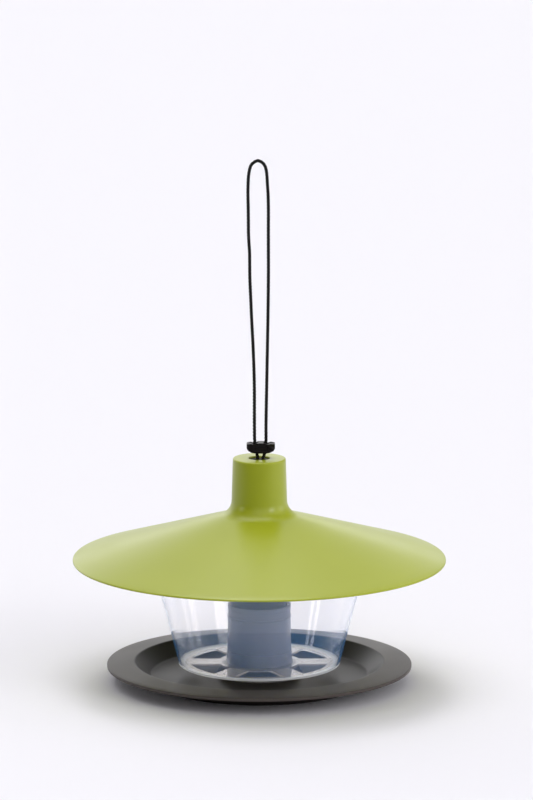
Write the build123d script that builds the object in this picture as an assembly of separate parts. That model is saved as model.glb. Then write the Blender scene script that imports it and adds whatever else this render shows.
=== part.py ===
from build123d import *
import math
import os

# Hanging gravity seed feeder: a dished tray with a hollow centre post, a conical
# seed hopper that stands on the post's shoulder, a wide conical roof with a tall
# neck that drops over the post, and a cord that runs from under the tray, up the
# post, out of the roof and through a stopper to a hanging loop.
# Millimetres. Origin: centre of the tray's foot, on the ground. +Z up.
# Names end in _R for a radius from the axis and _Z for a height above the ground.


# ------------------------------------------------------------------- helpers
def ring(points):
    """Solid of revolution about Z from (radius, height) corner points."""
    return revolve(Plane.XZ * make_face(Polyline(*points, close=True)), Axis.Z)


def circles_at(solid, radius, height, tolerance=0.25):
    """Circular edges of a turned solid at a radius and height."""
    return ShapeList(
        edge for edge in solid.edges().filter_by(GeomType.CIRCLE)
        if abs(edge.radius - radius) < tolerance
        and abs(edge.arc_center.Z - height) < tolerance
    )


def round_corners(solid, corners):
    """Fillet a turned solid at each (radius, height, fillet radius), in order."""
    for radius, height, size in corners:
        solid = fillet(circles_at(solid, radius, height), size)
    return solid


def taper(z, bottom_z, bottom_r, top_z, top_r):
    """Radius at height z of a cone through two known radii."""
    return bottom_r + (top_r - bottom_r) * (z - bottom_z) / (top_z - bottom_z)


def racetrack(length, width, reach):
    """Slot cutter along X that reaches the same distance up and down."""
    return extrude(SlotOverall(length, width), amount=reach, both=True)


# ---------------------------------------------------------------------- tray
TRAY_R = 135.0            # outer edge of the lip
TRAY_EDGE_Z = 16.6        # top of the outer edge
TRAY_EDGE_H = 2.7         # height of the outer edge face
TRAY_EDGE_WALL = 1.9      # thickness of the outer edge
TRAY_WALL = 2.0
LIP_R = 110.5             # inner corner of the lip, its highest line
LIP_Z = 18.6
FLOOR_R = 96.0            # where the sloping side meets the floor
FLOOR_Z = 7.0             # top of the floor
FOOT_R = 92.0             # outer radius of the foot ring
FOOT_WIDTH = 3.0
FOOT_DRAFT = 0.35         # how much the foot widens on each side at its root
HUB_R = 23.9              # raised hub that locates the post
HUB_DRAFT = 0.5           # how much narrower the hub is at its top
HUB_Z = 20.0
CORD_HOLE_X = 5.0         # cord holes in the hub
CORD_HOLE_R = 1.9


def make_tray():
    wall = TRAY_WALL
    under_floor = FLOOR_Z - wall
    edge_bottom = TRAY_EDGE_Z - TRAY_EDGE_H
    hub_top_r = HUB_R - HUB_DRAFT
    foot_inner_r = FOOT_R - FOOT_WIDTH
    # the underside follows the sloping side and the lip
    run, rise = LIP_R - FLOOR_R, LIP_Z - FLOOR_Z
    shift = wall * math.hypot(run, rise) / rise   # side wall offset along the radius
    lip_slope = (LIP_Z - TRAY_EDGE_Z) / (TRAY_R - LIP_R)
    under_lip_z = LIP_Z - wall
    under_lip_r = FLOOR_R + shift + (under_lip_z - FLOOR_Z) * run / rise
    edge_inner_r = TRAY_R - TRAY_EDGE_WALL
    edge_inner_z = under_lip_z - (edge_inner_r - under_lip_r) * lip_slope
    under_floor_r = FLOOR_R + shift - wall * run / rise
    tray = ring([
        (0, HUB_Z), (hub_top_r, HUB_Z), (HUB_R, FLOOR_Z), (FLOOR_R, FLOOR_Z),
        (LIP_R, LIP_Z), (TRAY_R, TRAY_EDGE_Z), (TRAY_R, edge_bottom),
        (edge_inner_r, edge_bottom), (edge_inner_r, edge_inner_z),
        (under_lip_r, under_lip_z), (under_floor_r, under_floor),
        (FOOT_R + FOOT_DRAFT, under_floor), (FOOT_R, 0),
        (foot_inner_r, 0), (foot_inner_r - FOOT_DRAFT, under_floor),
        (HUB_R - wall, under_floor), (hub_top_r - wall, HUB_Z - wall), (0, HUB_Z - wall),
    ])
    tray = round_corners(tray, [
        (FLOOR_R, FLOOR_Z, 4.0),
        (LIP_R, LIP_Z, 3.0),
        (TRAY_R, TRAY_EDGE_Z, 0.7),
        (TRAY_R, edge_bottom, 0.4),
        (hub_top_r, HUB_Z, 1.2),
    ])
    for side in (-1, 1):
        tray -= Pos(side * CORD_HOLE_X, 0, HUB_Z - wall / 2) * Cylinder(CORD_HOLE_R, 3 * wall)
    return tray


# ---------------------------------------------------------------------- post
POST_WALL = 2.0
POST_SEAT_Z = 16.4        # shoulder the hopper stands on
POST_BASE_R = 26.3        # just above the shoulder
POST_TOP_R = 21.1
POST_TOP_Z = 200.3
SHOULDER_R = 33.5
SKIRT_R = 38.0            # foot of the skirt, on the tray floor
POST_SLOT_LENGTH = 13.0   # cord slot in the top plate
POST_SLOT_WIDTH = 6.0


def post_r(z):
    return taper(z, POST_SEAT_Z, POST_BASE_R, POST_TOP_Z, POST_TOP_R)


def make_post():
    wall = POST_WALL
    under_top = POST_TOP_Z - wall
    under_seat = POST_SEAT_Z - wall
    post = ring([
        (SKIRT_R, FLOOR_Z), (SHOULDER_R, POST_SEAT_Z), (POST_BASE_R, POST_SEAT_Z),
        (POST_TOP_R, POST_TOP_Z), (0, POST_TOP_Z), (0, under_top),
        (post_r(under_top) - wall, under_top), (post_r(under_seat) - wall, under_seat),
        (SHOULDER_R - 1.2 * wall, under_seat), (SKIRT_R - wall, FLOOR_Z),
    ])
    post = round_corners(post, [
        (POST_TOP_R, POST_TOP_Z, 1.4),
        (SHOULDER_R, POST_SEAT_Z, 0.8),
    ])
    slot = racetrack(POST_SLOT_LENGTH, POST_SLOT_WIDTH, 2 * wall)
    return post - Pos(0, 0, POST_TOP_Z) * slot


# -------------------------------------------------------------------- hopper
HOPPER_Z = POST_SEAT_Z    # underside of its floor
HOPPER_R = 71.3           # outside radius at the underside
HOPPER_SLOPE = 0.2533     # outward run over rise of the wall
HOPPER_TOP_Z = 126.0
HOPPER_WALL = 1.6
HOPPER_FLOOR = 1.8        # floor thickness
RIM_BEAD = 1.6            # how far the rim bead stands out
RIM_FACE_H = 2.4          # height of the bead's outer face
RIM_H = 3.0               # height of the whole bead
OPENING_INNER_R = 36.0    # seed openings
OPENING_OUTER_R = 61.5
OPENING_CORNER = 2.0
SPOKE_WIDTH = 19.5
SPOKES = 6
SLEEVE_BASE_R = 28.7      # outside radius at the bottom
SLEEVE_TOP_R = 27.4
SLEEVE_TOP_Z = 70.8
SLEEVE_WALL = 1.5
STEP_Z = 28.9             # the sleeve is a little thicker below this
STEP = 0.35
# (height, extra radius) up the outside of the sleeve
SLEEVE_OUTSIDE = [
    (HOPPER_Z + HOPPER_FLOOR, STEP), (STEP_Z - 0.3, STEP), (STEP_Z + 0.1, 0),   # step
    (59.0, 0), (59.4, 0.6), (60.4, 0.6), (60.8, 0),                             # ring
    (66.6, 0), (66.9, 0.5), (SLEEVE_TOP_Z, 0.5),                                # collar
]


def hopper_r(z):
    return HOPPER_R + (z - HOPPER_Z) * HOPPER_SLOPE


def sleeve_r(z):
    return taper(z, HOPPER_Z, SLEEVE_BASE_R, SLEEVE_TOP_Z, SLEEVE_TOP_R)


def make_hopper():
    wall = HOPPER_WALL * math.hypot(1, HOPPER_SLOPE)   # thickness along the radius
    floor_top = HOPPER_Z + HOPPER_FLOOR
    floor_r = hopper_r(floor_top) - wall
    rim_r = hopper_r(HOPPER_TOP_Z)
    bead_r = rim_r + RIM_BEAD
    hopper = ring([
        (SLEEVE_BASE_R - SLEEVE_WALL, HOPPER_Z), (HOPPER_R, HOPPER_Z),
        (hopper_r(HOPPER_TOP_Z - RIM_H), HOPPER_TOP_Z - RIM_H),
        (bead_r, HOPPER_TOP_Z - RIM_FACE_H), (bead_r, HOPPER_TOP_Z),
        (rim_r - wall, HOPPER_TOP_Z), (floor_r, floor_top),
        *[(sleeve_r(z) + extra, z) for z, extra in SLEEVE_OUTSIDE],
        (SLEEVE_TOP_R - SLEEVE_WALL, SLEEVE_TOP_Z),
    ])
    hopper = round_corners(hopper, [
        (HOPPER_R, HOPPER_Z, 1.5),
        (floor_r, floor_top, 1.0),
        (bead_r, HOPPER_TOP_Z, 0.6),
        (sleeve_r(floor_top) + STEP, floor_top, 1.5),
    ])
    # seed openings, left between wide parallel-sided spokes;
    # each bar across the floor makes two opposite spokes
    openings = Circle(OPENING_OUTER_R) - Circle(OPENING_INNER_R)
    for i in range(SPOKES // 2):
        bar = Rectangle(4 * OPENING_OUTER_R, SPOKE_WIDTH)
        openings -= Rot(0, 0, 360 / SPOKES * i) * bar
    openings = fillet(openings.vertices(), OPENING_CORNER)
    return hopper - Pos(0, 0, HOPPER_Z - 1) * extrude(openings, amount=HOPPER_FLOOR + 2)


# ---------------------------------------------------------------------- roof
ROOF_R = 165.0
ROOF_Z = 109.4            # lower edge
ROOF_SLOPE = 0.302        # rise over run of the cone
ROOF_WALL = 1.7
NECK_BASE_R = 24.9        # where the neck meets the cone
NECK_TOP_R = 23.4
ROOF_TOP_Z = 202.0
NECK_FILLET = 15.0
ROOF_HOLE_LENGTH = 18.9   # slightly oval cord opening in the neck's top
ROOF_HOLE_WIDTH = 16.4


def make_roof():
    wall = ROOF_WALL
    edge_z = ROOF_Z + wall * math.hypot(1, ROOF_SLOPE)   # cone thickness measured upright
    base_z = edge_z + (ROOF_R - NECK_BASE_R) * ROOF_SLOPE
    under_top = ROOF_TOP_Z - wall
    bore_top_r = taper(under_top, base_z, NECK_BASE_R, ROOF_TOP_Z, NECK_TOP_R) - wall
    # underside of the cone meets the inside of the neck
    bore_base_r = NECK_BASE_R - wall
    bore_base_z = ROOF_Z + (ROOF_R - bore_base_r) * ROOF_SLOPE
    roof = ring([
        (ROOF_R, ROOF_Z), (ROOF_R, edge_z), (NECK_BASE_R, base_z), (NECK_TOP_R, ROOF_TOP_Z),
        (0, ROOF_TOP_Z), (0, under_top), (bore_top_r, under_top), (bore_base_r, bore_base_z),
    ])
    roof = round_corners(roof, [
        (NECK_BASE_R, base_z, NECK_FILLET),
        (bore_base_r, bore_base_z, NECK_FILLET + wall),
        (NECK_TOP_R, ROOF_TOP_Z, 1.3),
        (ROOF_R, edge_z, 0.7),
        (ROOF_R, ROOF_Z, 0.5),
    ])
    hole = racetrack(ROOF_HOLE_LENGTH, ROOF_HOLE_WIDTH, 2 * wall)
    return roof - Pos(0, 0, ROOF_TOP_Z) * hole


# ------------------------------------------------------------------- stopper
STOPPER_X = 1.35          # hangs a touch off the axis
STOPPER_Z = 207.0         # underside
STOPPER_HALF_WIDTH = 12.5
STOPPER_DEPTH = 11.0
STOPPER_H = 9.0
STOPPER_CORNER = 2.2      # rounding of the upright end edges
STOPPER_SLOT_IN = 1.8     # ends of the cord slots, from the stopper's centre
STOPPER_SLOT_OUT = 11.5
STOPPER_SLOT_WIDTH = 3.6
# right half of the front outline, (x, z) from the underside up: rounded lower
# corner, upright end, dip over the slot
STOPPER_OUTLINE = [
    (4.2, 0.0), (6.4, 0.3), (8.2, 0.8), (9.8, 1.5), (11.1, 2.45), (12.0, 3.2),
    (STOPPER_HALF_WIDTH, 4.1), (STOPPER_HALF_WIDTH, STOPPER_H - 1.3),
    (STOPPER_HALF_WIDTH - 0.6, STOPPER_H - 0.7),
    (8.4, STOPPER_H - 0.4), (5.6, STOPPER_H - 1.2), (3.0, STOPPER_H - 0.1),
]
CROWN = (0, STOPPER_H + 0.2)
RECESS_WIDTH = 11.4
RECESS_CUT = 1.8          # cutter depth, half of it inside the face
RECESSES = [(6.1, 1.6), (3.0, 2.2)]   # (centre height, height), with a bar between


def make_stopper():
    mirrored = [(-x, z) for x, z in reversed(STOPPER_OUTLINE)]
    face = make_face(Polyline(CROWN, *mirrored, *STOPPER_OUTLINE, close=True))
    body = extrude(Plane.XZ * face, amount=STOPPER_DEPTH / 2, both=True)
    end_edges = [edge for edge in body.edges().filter_by(Axis.Z)
                 if abs(abs(edge.center().X) - STOPPER_HALF_WIDTH) < 0.01]
    body = fillet(end_edges, STOPPER_CORNER)
    slot_length = STOPPER_SLOT_OUT - STOPPER_SLOT_IN
    slot_x = (STOPPER_SLOT_OUT + STOPPER_SLOT_IN) / 2
    for side in (-1, 1):
        slot = racetrack(slot_length, STOPPER_SLOT_WIDTH, 2 * STOPPER_H)
        body -= Pos(side * slot_x, 0, STOPPER_H / 2) * slot
    # shallow recesses, front and back
    for side in (-1, 1):
        for z, height in RECESSES:
            recess = Box(RECESS_WIDTH, RECESS_CUT, height)
            body -= Pos(0, side * STOPPER_DEPTH / 2, z) * recess
    return Pos(STOPPER_X, 0, STOPPER_Z) * body


# ---------------------------------------------------------------------- cord
CORD_R = 1.5
BEND_Z = 412.0            # where the cord ends and the hanging loop begins
BEND_GAP = 0.85           # half the gap between the cord and the loop
LOOP_TOP_Z = 467.5        # centre of the cord at the top of the loop
UNDER_HUB_Z = HUB_Z - TRAY_WALL
KNOT_GAP = 0.05           # from the hub's underside to the cord above and knots below
KNOT_R = 3.9
KNOT_H = 6.4
KNOT_ROUND = 2.2
TAIL_LENGTH = 5.0         # cord end below each knot
TAIL_OVERLAP = 0.5        # part of the tail inside the knot

# centre lines of the two cords in the XZ plane, (x, z) from the hub up
LEFT_CORD = [
    (-CORD_HOLE_X, UNDER_HUB_Z + KNOT_GAP), (-CORD_HOLE_X, 24.0), (-2.6, 110.0),
    (-1.4, 185.0), (-1.35, 200.3), (-2.15, 206.6), (-3.3, 211.0), (-4.0, 216.5),
    (-4.3, 232.0), (-4.4, 268.0), (-5.4, 300.0), (-6.8, 328.0), (-7.75, 350.0),
    (-8.3, 364.0), (-8.45, 376.0), (-8.55, 386.0), (-9.2, 396.0), (-9.5, 404.0),
    (-9.55, BEND_Z - BEND_GAP),
]
RIGHT_CORD = [
    (CORD_HOLE_X, UNDER_HUB_Z + KNOT_GAP), (CORD_HOLE_X, 24.0), (2.8, 110.0),
    (2.5, 185.0), (2.9, 200.3), (4.75, 206.6), (5.45, 211.0), (5.85, 217.0),
    (5.9, 232.0), (6.5, 268.0), (7.6, 330.0), (8.0, 368.0), (7.95, 395.0),
    (7.95, BEND_Z - BEND_GAP),
]
# the loop's two sides going up, (x from the end of the cord below, z)
LOOP_LEFT = [
    (0, BEND_Z + BEND_GAP), (-0.15, 425.0), (-0.4, 438.0), (-0.3, 446.2),
    (0.15, LOOP_TOP_Z - 13.2), (1.05, LOOP_TOP_Z - 7.8),
    (2.35, LOOP_TOP_Z - 4.0), (4.8, LOOP_TOP_Z - 1.5),
]
LOOP_RIGHT = [
    (0, BEND_Z + BEND_GAP), (0, 425.0), (-0.3, 438.0), (-0.85, 446.2),
    (-1.35, LOOP_TOP_Z - 13.2), (-2.05, LOOP_TOP_Z - 7.8),
    (-3.4, LOOP_TOP_Z - 4.0), (-5.9, LOOP_TOP_Z - 1.3),
]
LOOP_TOP_X = -1.4


def rope(points):
    """Round cord along a smooth curve through (x, z) points."""
    path = Spline(*[Vector(x, 0, z) for x, z in points])
    start = Plane(origin=path @ 0, z_dir=path % 0)
    return sweep(start * Circle(CORD_R), path=path)


def make_cord():
    return Compound(children=[rope(LEFT_CORD), rope(RIGHT_CORD)])


def make_loop():
    left_x, right_x = LEFT_CORD[-1][0], RIGHT_CORD[-1][0]
    rising = [(left_x + x, z) for x, z in LOOP_LEFT]
    falling = [(right_x + x, z) for x, z in reversed(LOOP_RIGHT)]
    return rope([*rising, (LOOP_TOP_X, LOOP_TOP_Z), *falling])


def make_knots():
    top = UNDER_HUB_Z - KNOT_GAP
    tail_z = top - KNOT_H + TAIL_OVERLAP - TAIL_LENGTH / 2
    knots = []
    for x in (-CORD_HOLE_X, CORD_HOLE_X):
        knot = Pos(x, 0, top - KNOT_H / 2) * Cylinder(KNOT_R, KNOT_H)
        knot = fillet(knot.edges().filter_by(GeomType.CIRCLE), KNOT_ROUND)
        knot += Pos(x, 0, tail_z) * Cylinder(CORD_R, TAIL_LENGTH)
        knots.append(knot)
    return Compound(children=knots)


# --------------------------------------------------------------------- write
NODES = {
    "tray": make_tray,
    "post": make_post,
    "hopper": make_hopper,
    "roof": make_roof,
    "cord_stopper": make_stopper,
    "cord": make_cord,
    "hanging_loop": make_loop,
    "cord_knots": make_knots,
}

os.makedirs("parts", exist_ok=True)
for node, make in NODES.items():
    shape = make()
    shape.label = node
    export_step(shape, f"parts/{node}.step")
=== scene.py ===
"""A hanging feeder: a charcoal tray with a hollow post, a clear hopper round the post, and a
green roof on a twisted black cord, with a stopper on the cord and a hanging loop at the top.

The mouldings are turned about the Z axis and the tray's foot stands at z = 0. The cord lies in
the XZ plane. The front faces -Y and the right is +X.
"""
import bpy
import bmesh
import math
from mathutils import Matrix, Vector


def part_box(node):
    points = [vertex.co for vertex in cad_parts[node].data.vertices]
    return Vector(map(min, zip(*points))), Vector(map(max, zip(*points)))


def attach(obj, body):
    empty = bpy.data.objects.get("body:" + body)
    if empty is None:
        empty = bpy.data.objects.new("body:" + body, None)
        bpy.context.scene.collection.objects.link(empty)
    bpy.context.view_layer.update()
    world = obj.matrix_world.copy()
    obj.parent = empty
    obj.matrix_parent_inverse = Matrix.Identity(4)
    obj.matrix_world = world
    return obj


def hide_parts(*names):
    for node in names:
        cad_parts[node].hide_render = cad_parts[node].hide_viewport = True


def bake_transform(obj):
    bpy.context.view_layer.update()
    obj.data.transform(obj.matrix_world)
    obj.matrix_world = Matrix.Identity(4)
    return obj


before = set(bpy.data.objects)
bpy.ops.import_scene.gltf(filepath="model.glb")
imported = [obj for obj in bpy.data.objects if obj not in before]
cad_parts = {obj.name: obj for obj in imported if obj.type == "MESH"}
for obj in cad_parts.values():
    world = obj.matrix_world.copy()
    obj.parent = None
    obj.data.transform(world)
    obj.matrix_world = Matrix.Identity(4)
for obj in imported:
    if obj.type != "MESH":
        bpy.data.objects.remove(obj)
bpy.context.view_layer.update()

MM = 0.001          # sizes of the pieces are in millimetres; materials and stage are in metres

# ------------------------------------------------------- sizes shared by the pieces
TRAY_R = round(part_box("tray")[1].x / MM, 1)
ROOF_R = round(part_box("roof")[1].y / MM, 1)
ROOF_TOP_Z = round(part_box("roof")[1].z / MM, 1)
HOPPER_Z0, HOPPER_Z1 = (round(corner.z / MM, 1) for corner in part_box("hopper"))
POST_TOP_Z = round(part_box("post")[1].z / MM, 1)
stop_lo, stop_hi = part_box("cord_stopper")
STOP_X = round((stop_lo.x + stop_hi.x) / 2 / MM, 2)
STOP_Z = stop_lo.z / MM
LOOP_TOP_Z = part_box("hanging_loop")[1].z / MM - 1.5     # centre of the cord at the loop's top

WALL = 2.0          # wall of the tray and the post
TRAY_FLOOR_Z = 7.0  # upper face of the tray's floor
CORD_X = 5.0        # the two cord ends pass through the hub this far left and right


# --------------------------------------------------------------------- mesh tools
def rounded(corners, closed=True, step=0.22):
    """Outline with true arcs from corners (a, b[, radius]); step is the length of arc pieces."""
    outline = []
    count = len(corners)
    for i, corner in enumerate(corners):
        radius = corner[2] if len(corner) > 2 else 0.0
        here = Vector(corner[:2])
        if radius <= 0 or (not closed and i in (0, count - 1)):
            outline.append((here.x, here.y))
            continue
        before = Vector(corners[i - 1][:2]) - here
        after = Vector(corners[(i + 1) % count][:2]) - here
        room = min(before.length * 0.49, after.length * 0.49)
        before.normalize()
        after.normalize()
        half_angle = before.angle(after) / 2
        tangent = min(radius / math.tan(half_angle), room)
        radius = tangent * math.tan(half_angle)
        centre = here + (before + after).normalized() * (radius / math.sin(half_angle))
        start = (here + before * tangent) - centre
        end = (here + after * tangent) - centre
        turn = start.angle(end)
        sign = 1 if start.x * end.y - start.y * end.x > 0 else -1
        pieces = max(3, min(14, int(round(turn * radius / step))))
        for j in range(pieces + 1):
            angle = sign * turn * j / pieces
            c, s = math.cos(angle), math.sin(angle)
            point = Vector((start.x * c - start.y * s, start.x * s + start.y * c)) + centre
            outline.append((point.x, point.y))
    return outline


def dense(points, step, closed=True):
    """Adds points along the long sides, so that no face of a turned piece is very long."""
    out = []
    count = len(points)
    for i in range(count if closed else count - 1):
        a, b = points[i], points[(i + 1) % count]
        out.append(a)
        extra = int(math.hypot(b[0] - a[0], b[1] - a[1]) // step)
        for j in range(1, extra + 1):
            part = j / (extra + 1)
            out.append((a[0] + (b[0] - a[0]) * part, a[1] + (b[1] - a[1]) * part))
    if not closed:
        out.append(points[-1])
    return out


def slot_outline(length, width, arc_steps=28):
    """Slot with round ends, long along x."""
    radius = width / 2
    centre = length / 2 - radius
    out = []
    for side in (1, -1):
        for i in range(arc_steps + 1):
            angle = -math.pi / 2 + math.pi * i / arc_steps
            out.append((side * (centre + radius * math.cos(angle)),
                        side * radius * math.sin(angle)))
    return out


def shade(mesh, sharp):
    mesh.shade_smooth()
    mesh.set_sharp_from_angle(angle=math.radians(sharp))


def finish_mesh(bm, name, sharp=40.0):
    """Object from a bmesh, shaded smooth except where the faces meet at over `sharp` degrees."""
    bmesh.ops.recalc_face_normals(bm, faces=bm.faces)
    mesh = bpy.data.meshes.new(name)
    bm.to_mesh(mesh)
    bm.free()
    shade(mesh, sharp)
    ob = bpy.data.objects.new(name, mesh)
    bpy.context.scene.collection.objects.link(ob)
    return ob


def turned(name, outline, segments=288):
    """Solid of revolution about Z from (radius, height). Radius 0 closes it on the axis."""
    bm = bmesh.new()
    rings = []
    for r, z in outline:
        if r < 1e-6:
            rings.append([bm.verts.new((0, 0, z * MM))])
            continue
        angles = [2 * math.pi * i / segments for i in range(segments)]
        rings.append([bm.verts.new((r * math.cos(a) * MM, r * math.sin(a) * MM, z * MM))
                      for a in angles])
    for k, a in enumerate(rings):
        b = rings[(k + 1) % len(rings)]
        if len(a) == 1 and len(b) == 1:
            continue
        for i in range(segments):
            j = (i + 1) % segments
            if len(a) == 1:
                bm.faces.new((a[0], b[i], b[j]))
            elif len(b) == 1:
                bm.faces.new((a[i], a[j], b[0]))
            else:
                bm.faces.new((a[i], a[j], b[j], b[i]))
    return finish_mesh(bm, name)


def add_sides(bm, rings):
    for a, b in zip(rings, rings[1:]):
        for i in range(len(a)):
            j = (i + 1) % len(a)
            bm.faces.new((a[i], a[j], b[j], b[i]))


def add_caps(bm, rings):
    bm.faces.new(rings[0])
    bm.faces.new(rings[-1])


def loft(name, rings, steps=(add_sides, add_caps)):
    """Closed solid through rings of (x, y, z) points; steps gives the order of its faces."""
    bm = bmesh.new()
    rings = [[bm.verts.new((x * MM, y * MM, z * MM)) for x, y, z in ring] for ring in rings]
    for add_faces in steps:
        add_faces(bm, rings)
    return finish_mesh(bm, name)


def prism(name, outline, z0, z1):
    """Upright prism from an (x, y) outline."""
    return loft(name, [[(x, y, z) for x, y in outline] for z in (z0, z1)], (add_caps, add_sides))


def baked(ob):
    """Applies the object's modifiers to its mesh."""
    bpy.context.view_layer.update()
    depsgraph = bpy.context.evaluated_depsgraph_get()
    mesh = bpy.data.meshes.new_from_object(ob.evaluated_get(depsgraph))
    ob.modifiers.clear()
    old = ob.data
    ob.data = mesh
    mesh.name = ob.name
    bpy.data.meshes.remove(old)
    shade(mesh, 40.0)


def cut(ob, cutter):
    """Takes the cutter out of the object and removes the cutter."""
    boolean = ob.modifiers.new("cut", "BOOLEAN")
    boolean.operation = "DIFFERENCE"
    boolean.solver = "EXACT"
    boolean.object = cutter
    baked(ob)
    mesh = cutter.data
    bpy.data.objects.remove(cutter)
    bpy.data.meshes.remove(mesh)


def bevel(ob, width, segments, angle):
    edge = ob.modifiers.new("edge", "BEVEL")
    edge.width = width * MM
    edge.segments = segments
    edge.limit_method = "ANGLE"
    edge.angle_limit = math.radians(angle)
    edge.use_clamp_overlap = True
    edge.loop_slide = True
    baked(ob)


def dress(ob, mat, body, slot, *cad_nodes):
    """Gives the object its material, hides the CAD nodes it replaces and gives it its body. The
    slot argument is not used.
    """
    ob.data.materials.clear()
    ob.data.materials.append(mat)
    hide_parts(*cad_nodes)
    if body:
        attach(ob, body)


# --------------------------------------------------------------------- node tools
class Graph:
    """A node tree being built. An input takes a number, an RGB tuple or a node's output."""

    def __init__(self, tree):
        tree.nodes.clear()
        self.tree = tree
        self.coords = self.add("TexCoord").outputs

    def add(self, kind, inputs=None, **settings):
        made = self.tree.nodes.new("ShaderNode" + kind)
        for key, value in settings.items():
            setattr(made, key, value)
        for key, value in (inputs or {}).items():
            if isinstance(value, bpy.types.NodeSocket):
                self.tree.links.new(value, made.inputs[key])
            else:
                rgba = isinstance(value, tuple)
                made.inputs[key].default_value = (*value, 1) if rgba else value
        return made

    def out(self, kind, inputs=None, **settings):
        """Adds a node and gives its first output."""
        return self.add(kind, inputs, **settings).outputs[0]

    def math(self, operation, a, b=None, clamp=False):
        inputs = {0: a} if b is None else {0: a, 1: b}
        return self.out("Math", inputs, operation=operation, use_clamp=clamp)

    def split(self, vector):
        return self.add("SeparateXYZ", {0: vector}).outputs

    def radius_squared(self, xyz):
        return self.math("ADD", self.math("MULTIPLY", xyz[0], xyz[0]),
                         self.math("MULTIPLY", xyz[1], xyz[1]))

    def map_range(self, value, start, end, to_start=0.0, to_end=1.0, kind="LINEAR"):
        return self.out("MapRange", {"Value": value, "From Min": start, "From Max": end,
                                     "To Min": to_start, "To Max": to_end},
                        interpolation_type=kind)

    def smoothstep(self, value, start, end, to_start=0.0, to_end=1.0):
        return self.map_range(value, start, end, to_start, to_end, "SMOOTHSTEP")

    def noise(self, scale, detail, roughness):
        return self.out("TexNoise", {"Vector": self.coords["Object"], "Scale": scale,
                                     "Detail": detail, "Roughness": roughness})

    def bump(self, height, strength, distance):
        return self.out("Bump", {"Height": height, "Strength": strength, "Distance": distance})

    def mix(self, factor, a, b, blend="MIX"):
        made = self.add("Mix", {"Factor": factor, "A": a, "B": b},
                        data_type="RGBA", blend_type=blend)
        return made.outputs["Result"]

    def mix_shader(self, factor, a, b):
        return self.out("MixShader", {0: factor, 1: a, 2: b})

    def add_shader(self, a, b):
        return self.out("AddShader", {0: a, 1: b})

    def ramp(self, factor, stops):
        made = self.add("ValToRGB", {0: factor})
        elements = made.color_ramp.elements
        while len(elements) < len(stops):
            elements.new(0.5)
        for element, (position, colour) in zip(elements, stops):
            element.position = position
            element.color = (*colour, 1)
        return made.outputs[0]


def material(name):
    made = bpy.data.materials.new(name)
    made.use_nodes = True
    return made, Graph(made.node_tree)


# ---------------------------------------------------------------------- materials
DUST_COLOUR = (0.5, 0.5, 0.5)
GLOSS_DRIFT = 0.04
GRAIN_DEPTH = 0.05 * MM


def moulded(name, colour, rough, grain, bump, spec, variation, dust=0.0, painted_lip_light=None):
    """Moulded plastic: eroded grain in the bump, soft changes of gloss and colour, some dust.

    grain is in mm; the last argument is (radius in metres, gain): outside that radius the lip is
    painted lighter by the gain, painted light standing in for the light the lip catches.
    """
    made, g = material(name)
    plastic = g.add("BsdfPrincipled", {"Roughness": rough, "IOR": 1.5,
                                       "Specular IOR Level": spec})
    # colour drift
    dark = tuple(c * (1 - 2 * variation) for c in colour)
    light = tuple(min(1, c * (1 + 2 * variation)) for c in colour)
    drift = g.noise(scale=14.0, detail=1.0, roughness=0.4)
    shown = g.ramp(drift, [(0.0, dark), (1.0, light)])
    # dust lies on faces that look up
    if dust > 0:
        up = g.split(g.add("NewGeometry").outputs["Normal"])[2]
        speck = g.noise(scale=60.0, detail=6.0, roughness=0.65)
        lying = g.math("MULTIPLY", g.math("MAXIMUM", up, 0.0), speck)
        shown = g.mix(g.math("MULTIPLY", lying, dust * 2, clamp=True), shown, DUST_COLOUR)
    # painted light: the lip outside the radius is painted lighter than the rest of the moulding
    if painted_lip_light:
        radius, gain = painted_lip_light
        from_axis = g.math("SQRT", g.radius_squared(g.split(g.coords["Object"])))
        lift = g.smoothstep(from_axis, radius - 0.0015, radius + 0.0005, 1.0, gain)
        shown = g.out("VectorMath", {0: shown, "Scale": lift}, operation="SCALE")
    g.tree.links.new(shown, plastic.inputs["Base Color"])
    gloss = g.map_range(g.noise(scale=26.0, detail=1.0, roughness=0.4), 0.0, 1.0,
                        rough - GLOSS_DRIFT, rough + GLOSS_DRIFT)
    g.tree.links.new(gloss, plastic.inputs["Roughness"])
    fine = g.noise(scale=1.0 / (grain * MM), detail=3.0, roughness=0.6)
    g.tree.links.new(g.bump(fine, bump, GRAIN_DEPTH), plastic.inputs["Normal"])
    g.add("OutputMaterial", {"Surface": plastic.outputs[0]})
    return made


# The clear moulding has four regions, told apart by place (metres).
SLEEVE_LIMIT_R = 0.0303     # inside this radius is the sleeve
LOW_LIMIT_Z = 0.0187        # below this is the floor, or the foot of the wall
FOOT_LIMIT_R = 0.0655       # low and outside this radius is the foot of the wall
# Each value:   wall, floor, sleeve, foot of the wall
HAZE = (0.012, 0.30, 0.37, 0.50)                    # share of scattering haze
CLEAR_ROUGH = (0.02, 0.08, 0.12, 0.12)
HAZE_TONE = ((0.5, 0.6, 1.0), (0.93, 0.81, 0.77), (0.63, 0.63, 0.74), (0.86, 0.88, 0.92))
GLOW = ((0.009, 0.036, 0.084), (0.0, 0.0, 0.0), (0.01, 0.012, 0.018), (0.06, 0.06, 0.065))
# painted glow (emission) of each region, standing in for light guided inside the wall
PAINTED_GUIDED_GLOW = ((0.0, 0.0, 0.0), (0.018, 0.017, 0.018), (0.0, 0.0, 0.0), (0.100, 0.103, 0.110))
CLEAR_TINT = ((0.995, 0.970, 0.948), (0.97, 0.965, 0.975), (0.96, 0.96, 0.975),
              (0.96, 0.96, 0.975))
CLEAR_IOR = 1.38
SHADOW_TINT = (0.95, 0.95, 0.965)


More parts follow.
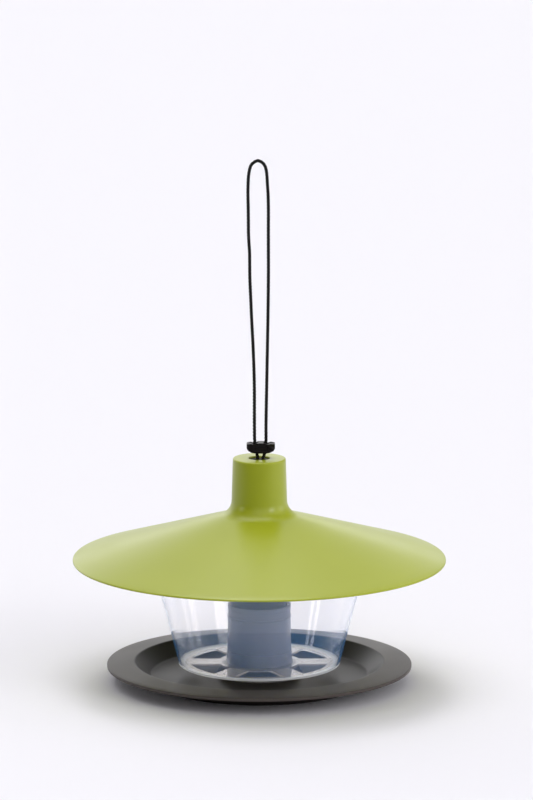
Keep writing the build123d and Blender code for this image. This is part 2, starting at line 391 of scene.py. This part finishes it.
def clear_plastic(name):
    """Clear moulded plastic with haze: bluish in the thin wall, whiter in the floor, milky in
    the thick sleeve. Shadow and diffuse rays pass straight through."""
    made, g = material(name)
    xyz = g.split(g.coords["Object"])
    radius_squared = g.radius_squared(xyz)
    in_sleeve = g.math("LESS_THAN", radius_squared, SLEEVE_LIMIT_R ** 2)
    low = g.math("LESS_THAN", xyz[2], LOW_LIMIT_Z)
    in_floor = g.math("MULTIPLY", low, g.math("SUBTRACT", 1.0, in_sleeve))
    in_foot = g.math("MULTIPLY", low,
                     g.math("GREATER_THAN", radius_squared, FOOT_LIMIT_R ** 2))

    def region_value(wall, floor, sleeve, foot):
        value = g.math("ADD", g.math("MULTIPLY", in_floor, floor - wall), wall)
        value = g.math("ADD", g.math("MULTIPLY", in_foot, foot - floor), value)
        return g.math("ADD", g.math("MULTIPLY", in_sleeve, sleeve - wall), value)

    def region_colour(wall, floor, sleeve, foot):
        colour = g.out("RGB")
        colour.default_value = (*wall, 1)
        for inside, own in ((in_floor, floor), (in_sleeve, sleeve), (in_foot, foot)):
            colour = g.mix(inside, colour, own)
        return colour

    # slow ripples left by moulding
    wave = g.noise(scale=22.0, detail=2.0, roughness=0.4)
    glass = g.add("BsdfPrincipled", {
        "Base Color": region_colour(*CLEAR_TINT), "Roughness": 0.03, "IOR": CLEAR_IOR,
        "Transmission Weight": 1.0,
        "Normal": g.bump(wave, strength=0.10, distance=0.4 * MM)})
    g.tree.links.new(region_value(*CLEAR_ROUGH), glass.inputs["Roughness"])
    # haze: scattering to both sides
    tone = region_colour(*HAZE_TONE)
    haze = g.mix_shader(0.5, g.out("BsdfDiffuse", {"Color": tone}),
                        g.out("BsdfTranslucent", {"Color": tone}))
    # the haze is a little cloudy, and milkier toward the sleeve's top
    cloud = g.noise(scale=22.0, detail=1.0, roughness=0.4)
    cloudy = g.map_range(cloud, 0.0, 1.0, 0.98, 1.02)
    rising = g.map_range(xyz[2], 0.020, 0.066, 0.74, 1.30)
    share = g.math("MULTIPLY", g.math("MULTIPLY", region_value(*HAZE), rising), cloudy)
    body = g.mix_shader(share, glass.outputs[0], haze)
    # the finest haze scatters back a little blue light and takes nothing from what lies behind
    body = g.add_shader(body, g.out("BsdfDiffuse", {"Color": region_colour(*GLOW)}))
    # painted light: a fixed glow at the foot of the wall and along the floor, emitted whatever
    # the lamps do, stands in for light guided inside the wall
    body = g.add_shader(body, g.out("Emission", {"Color": region_colour(*PAINTED_GUIDED_GLOW)}))
    ray = g.add("LightPath").outputs
    passes = g.math("MAXIMUM", ray["Is Shadow Ray"], ray["Is Diffuse Ray"])
    through = g.out("BsdfTransparent", {"Color": SHADOW_TINT})
    g.add("OutputMaterial", {"Surface": g.mix_shader(passes, body, through)})
    return made


def cord_fibre(name, colour):
    """Synthetic yarn: filaments wind round each ply, from the mesh's along and around values."""
    made, g = material(name)
    along = g.add("Attribute", attribute_name="along").outputs["Fac"]
    around = g.add("Attribute", attribute_name="around").outputs["Fac"]
    # nine filaments round a ply, slanted along it
    lay = g.math("ADD", g.math("MULTIPLY", around, 9.0), g.math("MULTIPLY", along, 3600.0))
    filament = g.math("ADD", g.math("MULTIPLY", g.math("SINE", lay), 0.5), 0.5)
    fuzz = g.noise(scale=2600.0, detail=3.0, roughness=0.7)
    height = g.math("ADD", filament, g.math("MULTIPLY", fuzz, 0.8))
    # the colour follows the height of the filaments and fuzz: painted shade in the grooves,
    # painted light on the crests
    shown = g.ramp(g.math("MULTIPLY", height, 0.55), [(0.15, tuple(c * 0.45 for c in colour)),
                                                      (0.8, tuple(c * 1.7 for c in colour))])
    fibre = g.out("BsdfPrincipled", {
        "Base Color": shown, "Roughness": 0.62, "IOR": 1.5, "Specular IOR Level": 0.2,
        "Sheen Weight": 0.04, "Sheen Roughness": 0.4,
        "Normal": g.bump(height, strength=0.8, distance=0.12 * MM)})
    g.add("OutputMaterial", {"Surface": fibre})
    return made


green = moulded("green_moulding", colour=(0.345, 0.390, 0.012), rough=0.30, grain=0.55,
                bump=0.12, spec=0.5, variation=0.02)
# the tray's lip beyond 111.5 mm is painted 3.85 times lighter: painted light on the lip
charcoal = moulded("charcoal_moulding", colour=(0.0185, 0.0155, 0.0145), rough=0.38, grain=0.6,
                   bump=0.28, spec=0.16, variation=0.05, dust=0.003, painted_lip_light=(0.1115, 3.85))
charcoal_post = moulded("charcoal_post", colour=(0.090, 0.088, 0.090), rough=0.42, grain=0.6,
                        bump=0.3, spec=0.5, variation=0.05)
black = moulded("black_moulding", colour=(0.0070, 0.0046, 0.0056), rough=0.33, grain=1.1,
                bump=0.9, spec=0.16, variation=0.06)
clear = clear_plastic("clear_moulding")
yarn = cord_fibre("black_yarn", colour=(0.0085, 0.0068, 0.0066))

# --------------------------------------------------------------------------- tray
# Outlines below are corners (radius, height[, corner radius]).
LIP_R, LIP_Z = 110.5, 18.6          # top of the sloping wall
EDGE_Z, EDGE_H = 16.6, 2.7          # outer edge of the lip: its top, and its height
EDGE_WALL = 1.9
SLOPE_R = 96.0                      # where the wall starts to rise from the floor
FOOT_R, FOOT_W, FOOT_DRAFT = 92.0, 3.0, 0.35
HUB_R, HUB_Z, HUB_DRAFT = 23.9, 20.0, 0.5
CORD_HOLE_R = 1.9


def build_tray():
    run, rise = LIP_R - SLOPE_R, LIP_Z - TRAY_FLOOR_Z
    # the lower side of the wall lies WALL below the upper one, square to the slope
    shift = WALL * math.hypot(run, rise) / rise
    lip_fall = (LIP_Z - EDGE_Z) / (TRAY_R - LIP_R)
    inner_z = LIP_Z - WALL
    inner_r = SLOPE_R + shift + (inner_z - TRAY_FLOOR_Z) * run / rise
    skin_r = TRAY_R - EDGE_WALL
    skin_z = inner_z - (skin_r - inner_r) * lip_fall
    under_r = SLOPE_R + shift - WALL * run / rise
    under_z = TRAY_FLOOR_Z - WALL
    edge_foot_z = EDGE_Z - EDGE_H
    outline = rounded([
        (0, HUB_Z), (HUB_R - HUB_DRAFT, HUB_Z, 1.2), (HUB_R, TRAY_FLOOR_Z, 0.6),
        (SLOPE_R, TRAY_FLOOR_Z, 4.0), (LIP_R, LIP_Z, 3.0), (TRAY_R, EDGE_Z, 0.7),
        (TRAY_R, edge_foot_z, 0.4), (skin_r, edge_foot_z, 0.35), (skin_r, skin_z, 0.5),
        (inner_r, inner_z, 1.0), (under_r, under_z, 1.5),
        (FOOT_R + FOOT_DRAFT, under_z, 0.6), (FOOT_R, 0, 0.4), (FOOT_R - FOOT_W, 0, 0.4),
        (FOOT_R - FOOT_W - FOOT_DRAFT, under_z, 0.6), (HUB_R - WALL, under_z, 0.6),
        (HUB_R - HUB_DRAFT - WALL, HUB_Z - WALL, 0.8), (0, HUB_Z - WALL),
    ], closed=False)
    tray = turned("tray_moulding", dense(outline, 7.0, closed=False))
    for side in (-1, 1):
        hole = turned("hole", [(0, HUB_Z + 3), (CORD_HOLE_R, HUB_Z + 3),
                               (CORD_HOLE_R, HUB_Z - 6), (0, HUB_Z - 6)], segments=48)
        hole.location.x = side * CORD_X * MM
        cut(tray, hole)
    dress(tray, charcoal, "base", "charcoal_plastic", "tray")


# --------------------------------------------------------------------------- post
POST_FOOT_R, POST_SHOULDER_R = 38.0, 33.5
POST_R0, POST_R1 = 26.3, 21.1       # radius at the hopper's seat and at the top
POST_SLOT_L, POST_SLOT_W = 13.0, 6.0


def post_inner_r(z):
    height = POST_TOP_Z - HOPPER_Z0
    return POST_R0 + (POST_R1 - POST_R0) * (z - HOPPER_Z0) / height - WALL


def build_post():
    inner_top, inner_seat = POST_TOP_Z - WALL, HOPPER_Z0 - WALL
    outer = rounded([
        (POST_FOOT_R, TRAY_FLOOR_Z, 0.3), (POST_SHOULDER_R, HOPPER_Z0, 0.8),
        (POST_R0, HOPPER_Z0, 0.4), (POST_R1, POST_TOP_Z, 1.4), (0, POST_TOP_Z),
    ], closed=False)
    inner = rounded([
        (0, inner_top), (post_inner_r(inner_top), inner_top, 0.8),
        (post_inner_r(inner_seat), inner_seat, 0.3),
        (POST_SHOULDER_R - 1.2 * WALL, inner_seat, 0.3), (POST_FOOT_R - WALL, TRAY_FLOOR_Z),
    ], closed=False)
    post = turned("post_moulding", dense(outer + inner, 9.0, closed=False))
    cut(post, prism("slot", slot_outline(POST_SLOT_L, POST_SLOT_W),
                    POST_TOP_Z - 5, POST_TOP_Z + 3))
    dress(post, charcoal_post, "base", "charcoal_plastic", "post")


# ------------------------------------------------------------------------- hopper
HOPPER_FLARE = 0.2533               # growth of radius with height
HOPPER_R0 = 71.3                    # outer radius at the bottom
HOPPER_WALL, HOPPER_FLOOR = 1.6, 1.8
BEAD_OUT = 1.6                      # the rim stands this far out of the wall
SLEEVE_R0, SLEEVE_R1 = 28.7, 27.4   # outer radius at the bottom and the top
SLEEVE_TOP_Z, SLEEVE_WALL = 70.8, 1.5
# outside of the sleeve, going up: height, how far it stands proud, corner radius
SLEEVE_STEPS = [
    (28.6, 0.35, 0.2), (29.0, 0, 0.2),
    (58.9, 0, 0), (59.4, 0.6, 0.3), (60.4, 0.6, 0.3), (60.9, 0, 0),
    (66.5, 0, 0), (66.9, 0.5, 0.25),
]
# six openings in the floor, with spokes of even width between them
OPENING_R0, OPENING_R1, SPOKE_W, OPENING_CORNER = 36.0, 61.5, 19.5, 2.0


def hopper_r(z):
    return HOPPER_R0 + (z - HOPPER_Z0) * HOPPER_FLARE


def sleeve_r(z):
    return (SLEEVE_R0 + (SLEEVE_R1 - SLEEVE_R0) * (z - HOPPER_Z0)
            / (SLEEVE_TOP_Z - HOPPER_Z0))


def opening_arc(radius, steps):
    """Arc of (radius, angle) between two spokes."""
    sector = math.pi / 3
    margin = math.asin(SPOKE_W / 2 / radius)
    return [(radius, margin + (sector - 2 * margin) * i / steps) for i in range(steps + 1)]


def build_hopper():
    wall = HOPPER_WALL * math.hypot(1, HOPPER_FLARE)    # measured level
    floor_z = HOPPER_Z0 + HOPPER_FLOOR
    rim_r = hopper_r(HOPPER_Z1)
    outline = rounded([
        (sleeve_r(HOPPER_Z0) - SLEEVE_WALL, HOPPER_Z0, 0.3), (HOPPER_R0, HOPPER_Z0, 1.5),
        (hopper_r(HOPPER_Z1 - 3.0), HOPPER_Z1 - 3.0, 0.3),
        (rim_r + BEAD_OUT, HOPPER_Z1 - 2.4, 0.25), (rim_r + BEAD_OUT, HOPPER_Z1, 0.6),
        (rim_r - wall, HOPPER_Z1, 0.4), (hopper_r(floor_z) - wall, floor_z, 1.0),
        (sleeve_r(floor_z) + 0.35, floor_z, 1.5),
        *[(sleeve_r(z) + proud, z, corner) for z, proud, corner in SLEEVE_STEPS],
        (SLEEVE_R1 + 0.5, SLEEVE_TOP_Z, 0.3), (SLEEVE_R1 - SLEEVE_WALL, SLEEVE_TOP_Z, 0.3),
    ])
    hopper = turned("hopper_moulding", dense(outline, 8.0))
    outer, inner = opening_arc(OPENING_R1, 10), opening_arc(OPENING_R0, 4)[::-1]
    corners = (outer[0], outer[-1], inner[0], inner[-1])
    for k in range(6):
        points = []
        for polar in outer + inner:
            radius, angle = polar[0], polar[1] + k * math.pi / 3
            points.append((radius * math.cos(angle), radius * math.sin(angle),
                           OPENING_CORNER if polar in corners else 0.0))
        cut(hopper, prism("opening", rounded(points), HOPPER_Z0 - 2, floor_z + 0.9))
    dress(hopper, clear, "hopper", "clear_plastic", "hopper")


# --------------------------------------------------------------------------- roof
ROOF_Z0 = 109.4                     # lower side of the outer edge
ROOF_SLOPE, ROOF_WALL = 0.302, 1.7
NECK_R0, NECK_R1 = 24.9, 23.4       # radius at the neck's base and at its top
ROOF_HOLE_L, ROOF_HOLE_W = 18.9, 16.4
# the hole's eased edge: height from the roof's top, growth of the hole all round
ROOF_HOLE_STEPS = [(3, 1.0), (0, 0.35), (-0.1, 0.1), (-0.35, 0.0), (-6, 0.0)]


def build_roof():
    edge_z = ROOF_Z0 + ROOF_WALL * math.hypot(1, ROOF_SLOPE)
    base_z = edge_z + (ROOF_R - NECK_R0) * ROOF_SLOPE

    def neck_r(z):
        return NECK_R0 - (NECK_R0 - NECK_R1) * (z - base_z) / (ROOF_TOP_Z - base_z)

    inner_top = ROOF_TOP_Z - ROOF_WALL
    inner_r = neck_r(base_z) - ROOF_WALL
    inner_z = ROOF_Z0 + (ROOF_R - inner_r) * ROOF_SLOPE
    outline = rounded([
        (0, inner_top), (neck_r(inner_top) - ROOF_WALL, inner_top, 0.6),
        (inner_r, inner_z, 16.7), (ROOF_R, ROOF_Z0, 0.5), (ROOF_R, edge_z, 0.7),
        (NECK_R0, base_z, 15.0), (NECK_R1, ROOF_TOP_Z, 1.3), (0, ROOF_TOP_Z),
    ], closed=False)
    roof = turned("roof_moulding", dense(outline, 7.0, closed=False), segments=360)
    cut(roof, loft("hole", [
        [(x, y, ROOF_TOP_Z + rise)
         for x, y in slot_outline(ROOF_HOLE_L + 2 * grow, ROOF_HOLE_W + 2 * grow)]
        for rise, grow in ROOF_HOLE_STEPS]))
    dress(roof, green, "roof", "green_plastic", "roof")


# ------------------------------------------------------------------------ stopper
STOP_H, STOP_HALF_W, STOP_DEPTH = 9.0, 12.5, 11.0
STOP_END_R = 2.2                    # the left and right ends are rounded in plan
# right half of the front view, from the foot round to the top: x, z, corner radius
STOP_HALF = [
    (4.6, 0.0, 1.5), (8.4, 0.75, 3.0), (11.2, 2.35, 2.5), (STOP_HALF_W, 4.3, 2.0),
    (STOP_HALF_W, STOP_H - 0.75, 0.8), (8.6, STOP_H - 0.25, 3.0), (5.6, STOP_H - 1.25, 2.2),
    (2.6, STOP_H + 0.2, 2.6),
]
STOP_SECTIONS = [-1.0, -0.86, -0.55, -0.2, 0.2, 0.55, 0.86, 1.0]    # parts of the half depth
STOP_SLOT_X, STOP_SLOT_L, STOP_SLOT_W = 6.65, 9.7, 3.6
WINDOW_HALF_W, WINDOW_CORNER, WINDOW_DEPTH = 5.7, 0.35, 0.9
WINDOWS = [(6.1, 1.6), (3.0, 2.2)]  # middle height, height


def stopper_ring(part):
    ring = []
    for x, z in rounded(STOP_HALF + [(-x, z, r) for x, z, r in STOP_HALF[::-1]], step=0.3):
        into_end = max(0.0, abs(x) - (STOP_HALF_W - STOP_END_R))
        keep = math.sqrt(max(0.0, 1 - (into_end / STOP_END_R) ** 2 * 0.999))
        y = part * (STOP_DEPTH / 2 - STOP_END_R + STOP_END_R * keep)
        ring.append((x + STOP_X, y, z + STOP_Z))
    return ring


def build_stopper():
    stopper = loft("stopper_moulding", [stopper_ring(part) for part in STOP_SECTIONS])
    for side in (-1, 1):
        slot = [(x + STOP_X + side * STOP_SLOT_X, y)
                for x, y in slot_outline(STOP_SLOT_L, STOP_SLOT_W, arc_steps=12)]
        cut(stopper, prism("slot", slot, STOP_Z - 4, STOP_Z + 14))
    # shallow windows in the front and the back
    for side in (-1, 1):
        for middle, height in WINDOWS:
            outline = rounded([(x * WINDOW_HALF_W, middle + z * height / 2, WINDOW_CORNER)
                               for x, z in ((-1, -1), (1, -1), (1, 1), (-1, 1))], step=0.15)
            depths = (side * (STOP_DEPTH / 2 - WINDOW_DEPTH), side * (STOP_DEPTH / 2 + 2))
            cut(stopper, loft("window", [[(x + STOP_X, y, z + STOP_Z) for x, z in outline]
                                         for y in depths], (add_caps, add_sides)))
    bevel(stopper, width=0.3, segments=2, angle=45)
    dress(stopper, black, "stopper", "stopper_plastic", "cord_stopper")


# --------------------------------------------------------------------------- cord
def smooth_path(points, step):
    """Centripetal Catmull-Rom through the points, resampled at an even step."""
    knots = [Vector(p) for p in points]
    knots = [knots[0] * 2 - knots[1]] + knots + [knots[-1] * 2 - knots[-2]]

    def between(p, q, tp, tq, u):
        return p * ((tq - u) / (tq - tp)) + q * ((u - tp) / (tq - tp))

    curve = []
    for p0, p1, p2, p3 in zip(knots, knots[1:], knots[2:], knots[3:]):
        t0 = 0.0
        t1 = t0 + (p1 - p0).length ** 0.5
        t2 = t1 + (p2 - p1).length ** 0.5
        t3 = t2 + (p3 - p2).length ** 0.5
        count = max(6, int((p2 - p1).length / step * 2))
        for j in range(count):
            u = t1 + (t2 - t1) * j / count
            middle = between(p1, p2, t1, t2, u)
            first = between(between(p0, p1, t0, t1, u), middle, t0, t2, u)
            last = between(middle, between(p2, p3, t2, t3, u), t1, t3, u)
            curve.append(between(first, last, t1, t2, u))
    curve.append(knots[-2])
    lengths = [0.0]
    for a, b in zip(curve, curve[1:]):
        lengths.append(lengths[-1] + (b - a).length)
    count = max(4, int(round(lengths[-1] / step)))
    out, j = [], 0
    for i in range(count + 1):
        target = lengths[-1] * i / count
        while j < len(lengths) - 2 and lengths[j + 1] < target:
            j += 1
        part = (target - lengths[j]) / max(1e-9, lengths[j + 1] - lengths[j])
        out.append(curve[j].lerp(curve[j + 1], min(1.0, max(0.0, part))))
    return out


def rope(name, points, step, ply_r, ply_off, lay, plies=3, around=10):
    """Twisted cord: each ply is a closed tube wound round the path at ply_off, one turn per lay.

    The mesh stores along (metres) and around (radians) for the yarn material.
    """
    path = smooth_path(points, step)
    count = len(path)

    def direction(line, i):
        return (line[min(i + 1, count - 1)] - line[max(i - 1, 0)]).normalized()

    # two directions across the path, carried along it without twist
    tangents = [direction(path, i) for i in range(count)]
    side = Vector((0, 1, 0))
    side = (side - tangents[0] * side.dot(tangents[0])).normalized()
    frames = []
    for tangent in tangents:
        side = (side - tangent * side.dot(tangent)).normalized()
        frames.append((side.copy(), tangent.cross(side).normalized()))
    bm = bmesh.new()
    along_layer = bm.verts.layers.float.new("along")
    around_layer = bm.verts.layers.float.new("around")
    for k in range(plies):
        outward = []
        for i, (u, v) in enumerate(frames):
            twist = 2 * math.pi * (i * step / lay + k / plies)
            outward.append(u * math.cos(twist) + v * math.sin(twist))
        centres = [p + out * ply_off for p, out in zip(path, outward)]
        rings = []
        for i in range(count):
            tangent = direction(centres, i)
            a = (outward[i] - tangent * outward[i].dot(tangent)).normalized()
            b = tangent.cross(a).normalized()
            # the last 0.6 mm of each end is rounded off
            end = min(i, count - 1 - i) * step
            fade = math.sqrt(max(0.0, 1 - (1 - min(1.0, end / 0.6)) ** 2)) * 0.75 + 0.25
            ring = []
            for j in range(around):
                angle = 2 * math.pi * j / around
                offset = a * math.cos(angle) * 0.98 + b * math.sin(angle) * 1.04
                vert = bm.verts.new((centres[i] + offset * ply_r * fade) * MM)
                vert[along_layer] = i * step * MM
                vert[around_layer] = angle
                ring.append(vert)
            rings.append(ring)
        add_sides(bm, rings)
        add_caps(bm, rings)
    return finish_mesh(bm, name, sharp=75)


# The cord's two strands, going up: x, z
LEFT_STRAND = [
    (-5.0, 18.0), (-5.0, 24.0), (-2.6, 110.0), (-1.4, 185.0), (-1.35, 200.3), (-2.15, 206.6),
    (-3.3, 211.0), (-4.0, 216.5), (-4.3, 232.0), (-4.4, 268.0), (-5.4, 300.0), (-6.8, 328.0),
    (-7.75, 350.0), (-8.3, 364.0), (-8.45, 376.0), (-8.55, 386.0), (-9.2, 396.0),
    (-9.5, 404.0), (-9.55, 412.0), (-9.7, 425.0), (-9.95, 438.0), (-9.85, 446.2),
]
RIGHT_STRAND = [
    (5.0, 18.0), (5.0, 24.0), (2.8, 110.0), (2.5, 185.0), (2.9, 200.3), (4.75, 206.6),
    (5.45, 211.0), (5.85, 217.0), (5.9, 232.0), (6.5, 268.0), (7.6, 330.0), (8.0, 368.0),
    (7.95, 395.0), (7.95, 412.0), (7.95, 425.0), (7.65, 438.0), (7.1, 446.2),
]
# The bend at the top, from left to right: x, depth below the loop's top
LOOP_BEND = [
    (-9.4, 13.2), (-8.5, 7.8), (-7.2, 4.0), (-4.75, 1.5), (-1.4, 0), (2.05, 1.3), (4.55, 4.0),
    (5.9, 7.8), (6.6, 13.2),
]


def build_cord():
    bend = [(x, LOOP_TOP_Z - depth) for x, depth in LOOP_BEND]
    line = [(x, 0, z) for x, z in LEFT_STRAND + bend + RIGHT_STRAND[::-1]]
    cord = rope("cord_twisted", line, step=0.42, ply_r=0.73, ply_off=0.83, lay=8.8)
    dress(cord, yarn, None, "cord_fibre", "cord", "hanging_loop")
    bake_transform(cord)


# A knot under the hub: the way in, a coil, and a tail.
# x and y from the hole, and z
KNOT_START = [(0, 0, 17.95), (0, 0, 15.5), (0, 0.1, 12.6), (0.6, -0.6, 11.0), (2.0, -1.2, 10.6)]
# x and y from the coil's end, and z
KNOT_TAIL = [(-0.9, 2.3, 15.2), (-1.6, 4.6, 12.6), (-1.6, 5.6, 9.0)]
COIL_R, COIL_Z, COIL_H = 2.45, 11.0, 4.9
COIL_TURNS, COIL_STEPS, COIL_START = 2.3, 26, -0.5      # the start is an angle in radians


def build_knot(side, tag):
    hole_x = side * CORD_X
    line = [(hole_x + x, y, z) for x, y, z in KNOT_START]
    for i in range(COIL_STEPS + 1):
        angle = COIL_START + 2 * math.pi * COIL_TURNS * i / COIL_STEPS
        line.append((hole_x + COIL_R * math.cos(angle), COIL_R * math.sin(angle),
                     COIL_Z + COIL_H * i / COIL_STEPS))
    end_x, end_y, _ = line[-1]
    line += [(end_x + x, end_y + y, z) for x, y, z in KNOT_TAIL]
    knot = rope("cord_knot_" + tag, line, step=0.4, ply_r=0.68, ply_off=0.74, lay=6.6)
    dress(knot, yarn, "base", "cord_fibre", "cord_knots")


build_tray()
build_post()
build_hopper()
build_roof()
build_stopper()
build_cord()
build_knot(-1, "left")
build_knot(1, "right")

# -------------------------------------------------------------------------- floor
FLOOR_HALF, FLOOR_FRONT_Y = 40.0, -6
PAPER = (0.842, 0.832, 0.872)
# painted shade: the floor in front, as the other surfaces see it
PAINTED_SHADE_PAPER = (0.03, 0.03, 0.03)


def floor_paper():
    """The paper is painted dark for every ray but the camera's in front of a line a little
    before the object: painted shade standing in for the unlit room on the camera's side. The
    camera alone sees the lit paper go on.
    """
    made, g = material("floor_paper")
    xyz = g.split(g.coords["Object"])
    # painted shade: in front of this slanting line the paper is dark for all but camera rays
    depth = g.math("ADD", xyz[1], g.math("MULTIPLY", xyz[0], 0.25))
    lit = g.smoothstep(depth, -0.80, -0.64)
    camera_ray = g.add("LightPath").outputs["Is Camera Ray"]
    factor = g.math("MULTIPLY", g.math("SUBTRACT", 1.0, camera_ray),
                    g.math("SUBTRACT", 1.0, lit))
    surface = g.mix_shader(factor, g.out("BsdfDiffuse", {"Color": PAPER}),
                           g.out("BsdfDiffuse", {"Color": PAINTED_SHADE_PAPER}))
    g.add("OutputMaterial", {"Surface": surface})
    return made


def build_floor():
    bm = bmesh.new()
    for x, y in ((-FLOOR_HALF, FLOOR_FRONT_Y), (FLOOR_HALF, FLOOR_FRONT_Y),
                 (FLOOR_HALF, FLOOR_HALF), (-FLOOR_HALF, FLOOR_HALF)):
        bm.verts.new((x, y, 0))
    bm.faces.new(bm.verts)
    floor = finish_mesh(bm, "floor")
    floor.data.materials.append(floor_paper())


build_floor()

# -------------------------------------------------------------------------- world
# Brightness of the sky round the compass, in three bands of height:
#           back  b-right right f-right front f-left left  b-left
SKY_LOW = (0.69, 0.43, 1.63, 0.60, 0.60, 0.02, 0.13, 1.45)
SKY_MID = (1.12, 0.04, 0.99, 1.00, 1.15, 0.02, 0.02, 0.60)
SKY_HIGH = (1.15, 0.60, 0.02, 0.55, 1.05, 0.50, 0.38, 0.95)
SKY_TINT = (0.99, 0.985, 1.0)
SKY_TOP = 8.0                       # brightness that a colour of 1 stands for
BACKDROP = (0.954, 0.944, 0.996)    # what the camera sees behind the floor
# Softboxes in the sky: azimuth, width, lower and upper height in degrees, brightness.
# Azimuth 0 is the back and 90 the right.
PANELS = [
    (0, 26, 7, 15, 2.05), (-30, 34, 8, 27, 2.05), (24, 24, 8, 14, 0.7), (84, 10, 2, 22, 3.3),
    (69, 8, 2, 24, 2.2), (-98, 5, 5, 26, 4.3), (-107, 5, 5, 26, 4.3), (127, 16, 9, 32, 6.3),
    (-7, 30, 54, 76, 6.5),
]
PANEL_SIDE_EDGE = 1.5 / 360         # softness, in turns
PANEL_HEIGHT_EDGE = 0.02            # softness, in sine of the height


def build_world():
    world = bpy.data.worlds.new("studio")
    bpy.context.scene.world = world
    world.use_nodes = True
    g = Graph(world.node_tree)
    xyz = g.split(g.coords["Generated"])
    # turn is 0.5 at the back and grows to the right
    azimuth = g.math("ARCTAN2", xyz[0], xyz[1])
    turn = g.math("ADD", g.math("MULTIPLY", azimuth, 1 / (2 * math.pi)), 0.5)

    def band(values):
        from_front = values[4:] + values[:5]
        return g.ramp(turn, [(i / 8, (v / SKY_TOP,) * 3) for i, v in enumerate(from_front)])

    def soft_window(value, low, high, edge):
        """1 between low and high, 0 outside, with soft edges."""
        return g.math("MULTIPLY", g.smoothstep(value, low - edge, low + edge),
                      g.smoothstep(value, high + edge, high - edge))

    sky = g.mix(g.smoothstep(xyz[2], 0.20, 0.42), band(SKY_LOW), band(SKY_MID))
    sky = g.mix(g.smoothstep(xyz[2], 0.60, 0.82), sky, band(SKY_HIGH))
    for azimuth, width, lower, upper, value in PANELS:
        across = soft_window(turn, 0.5 + (azimuth - width / 2) / 360,
                             0.5 + (azimuth + width / 2) / 360, PANEL_SIDE_EDGE)
        upright = soft_window(xyz[2], math.sin(math.radians(lower)),
                              math.sin(math.radians(upper)), PANEL_HEIGHT_EDGE)
        sky = g.mix(g.math("MULTIPLY", across, upright), sky, (value / SKY_TOP,) * 3)
    sky = g.mix(1.0, sky, SKY_TINT, blend="MULTIPLY")
    shown = g.mix(g.add("LightPath").outputs["Is Camera Ray"], sky,
                  tuple(c / SKY_TOP for c in BACKDROP))
    background = g.out("Background", {"Color": shown, "Strength": SKY_TOP})
    g.add("OutputWorld", {"Surface": background})


build_world()

# ------------------------------------------------------------------------- lights
# Far round softboxes: name, azimuth and height in degrees, strength, angular size in degrees
SUNS = [
    ("overhead", 0, 90, 0.36, 30),
    ("overhead_right", 90, 75, 0.16, 20),
    ("overhead_left", 292, 68, 0.32, 28),
]
for name, azimuth, height, strength, size in SUNS:
    a, e = math.radians(azimuth), math.radians(height)
    toward = Vector((math.sin(a) * math.cos(e), math.cos(a) * math.cos(e), math.sin(e)))
    light = bpy.data.lights.new(name, "SUN")
    light.energy = strength
    light.angle = math.radians(size)
    sun = bpy.data.objects.new(name, light)
    bpy.context.scene.collection.objects.link(sun)
    sun.rotation_euler = (-toward).to_track_quat("-Z", "Y").to_euler()
    sun.location = toward * 3

# ------------------------------------------------------------- camera and render
CAMERA_PITCH = math.radians(11.35)  # looking down

scene = bpy.context.scene
lens = bpy.data.cameras.new("camera")
camera = bpy.data.objects.new("camera", lens)
scene.collection.objects.link(camera)
lens.sensor_fit = "AUTO"
lens.sensor_width = 36.0
lens.lens = 312.84
lens.shift_x = 0.009
lens.clip_end = 200
camera.location = (0, -6.0, 1.4585)
camera.rotation_euler = (math.pi / 2 - CAMERA_PITCH, 0, 0)
scene.camera = camera

scene.view_settings.view_transform = "Standard"
scene.view_settings.look = "None"
scene.view_settings.exposure = 0.0
scene.cycles.max_bounces = 16
scene.cycles.transmission_bounces = 16
scene.cycles.transparent_max_bounces = 24
scene.cycles.caustics_reflective = False
scene.cycles.caustics_refractive = False
scene.cycles.sample_clamp_indirect = 5.0
scene.cycles.sample_clamp_direct = 8.0

bpy.context.view_layer.update()
